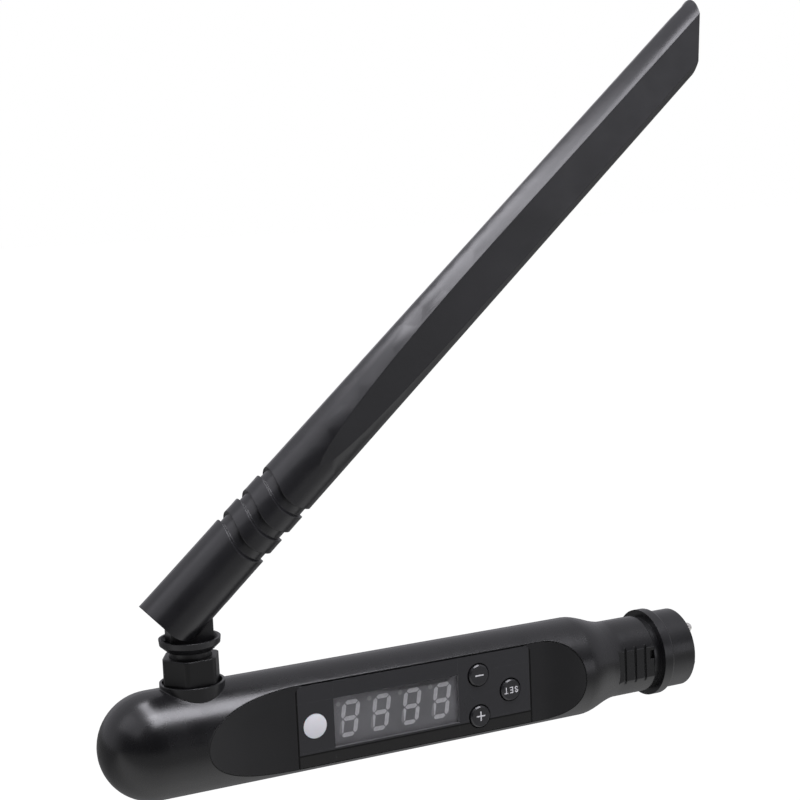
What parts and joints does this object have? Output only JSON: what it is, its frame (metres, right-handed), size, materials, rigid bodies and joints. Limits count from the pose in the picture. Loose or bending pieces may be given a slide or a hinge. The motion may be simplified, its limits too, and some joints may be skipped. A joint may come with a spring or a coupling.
{
  "type": "dmx led transmitter",
  "caption": "Plug-on wireless lighting-control transmitter: round stick with a pin plug, a flat front with display, lamp and push keys, and a swivelling, tilting rod antenna.",
  "frame": {"origin": "centre of the plug sleeve's rim, on the stick's axis", "axes": "+X the way the plug points, +Z the antenna side, -Y the side with the display"},
  "size_m": [0.1516, 0.0267, 0.168],
  "materials": {
    "shell_black": "satin moulded black plastic",
    "cover_black": "fine matt black plastic",
    "panel_gloss": "gloss black panel",
    "display_window": "clear smoky window",
    "display_body": "grey display face",
    "display_bars": "unlit pale display bars",
    "lamp_white": "milky white",
    "key_black": "gloss black key cap with white legend",
    "board_green": "green circuit board",
    "steel": "plain",
    "chip_black": "moulded black",
    "cell_foil": "plain foil pouch",
    "block_grey": "grey terminal block",
    "plug_black": "satin black coated metal",
    "insert_black": "moulded black",
    "pin_metal": "bright plated",
    "wire_red": "insulated wire",
    "wire_black": "black jacket",
    "brass": "plain brass",
    "insulator_white": "white insulator",
    "nut_black": "satin black",
    "antenna_black": "satin moulded black plastic"
  },
  "bodies": {
    "housing": {"body_shell": "shell_black", "front_cover": "cover_black", "gloss_panel": "panel_gloss", "display_lens": "display_window", "display_module": "display_body", "display_segments": "display_bars", "indicator_lens": "lamp_white", "main_board": "board_green", "board_screws": "steel", "key_switches": "chip_black", "status_led": "lamp_white", "radio_module": "steel", "control_chip": "chip_black", "battery_cell": "cell_foil", "charge_socket": "steel", "wire_block": "block_grey", "plug_shell": "plug_black", "plug_insert": "insert_black", "plug_pins": "pin_metal", "plug_wires": "wire_red", "rf_jack": "brass", "jack_insulator": "insulator_white", "jack_contact": "brass", "rf_pigtail": "wire_black", "pigtail_plug": "brass", "collar_nut": "nut_black"},
    "swivel": {"swivel_foot": "antenna_black", "swivel_insulator": "insulator_white", "swivel_contact": "brass", "hinge_pin": "steel"},
    "antenna": {"antenna_radome": "antenna_black", "antenna_feed": "brass", "dipole_sleeve": "brass", "antenna_whip": "brass", "antenna_spacers": "insulator_white"},
    "key_minus": {"key_minus": "key_black"},
    "key_plus": {"key_plus": "key_black"},
    "key_set": {"key_set": "key_black"}
  },
  "joints": [
    {"name": "antenna_swivel", "type": "hinge", "parent": "housing", "child": "swivel", "pos_m": [-0.12548, 0, 0.0166], "axis": [0, 0, 1], "continuous": true},
    {"name": "antenna_tilt", "type": "hinge", "parent": "swivel", "child": "antenna", "pos_m": [-0.12548, 0, 0.03031], "axis": [-0.0785, -0.9969, 0], "range_deg": [-42.6, 47.4]},
    {"name": "key_minus_press", "type": "slide", "parent": "housing", "child": "key_minus", "axis": [0, 1, 0], "range_m": [0, 0.0003], "stiffness_N_per_m": 600, "springref_m": -0.0005},
    {"name": "key_plus_press", "type": "slide", "parent": "housing", "child": "key_plus", "axis": [0, 1, 0], "range_m": [0, 0.0003], "stiffness_N_per_m": 600, "springref_m": -0.0005},
    {"name": "key_set_press", "type": "slide", "parent": "housing", "child": "key_set", "axis": [0, 1, 0], "range_m": [0, 0.0003], "stiffness_N_per_m": 600, "springref_m": -0.0005}
  ]
}
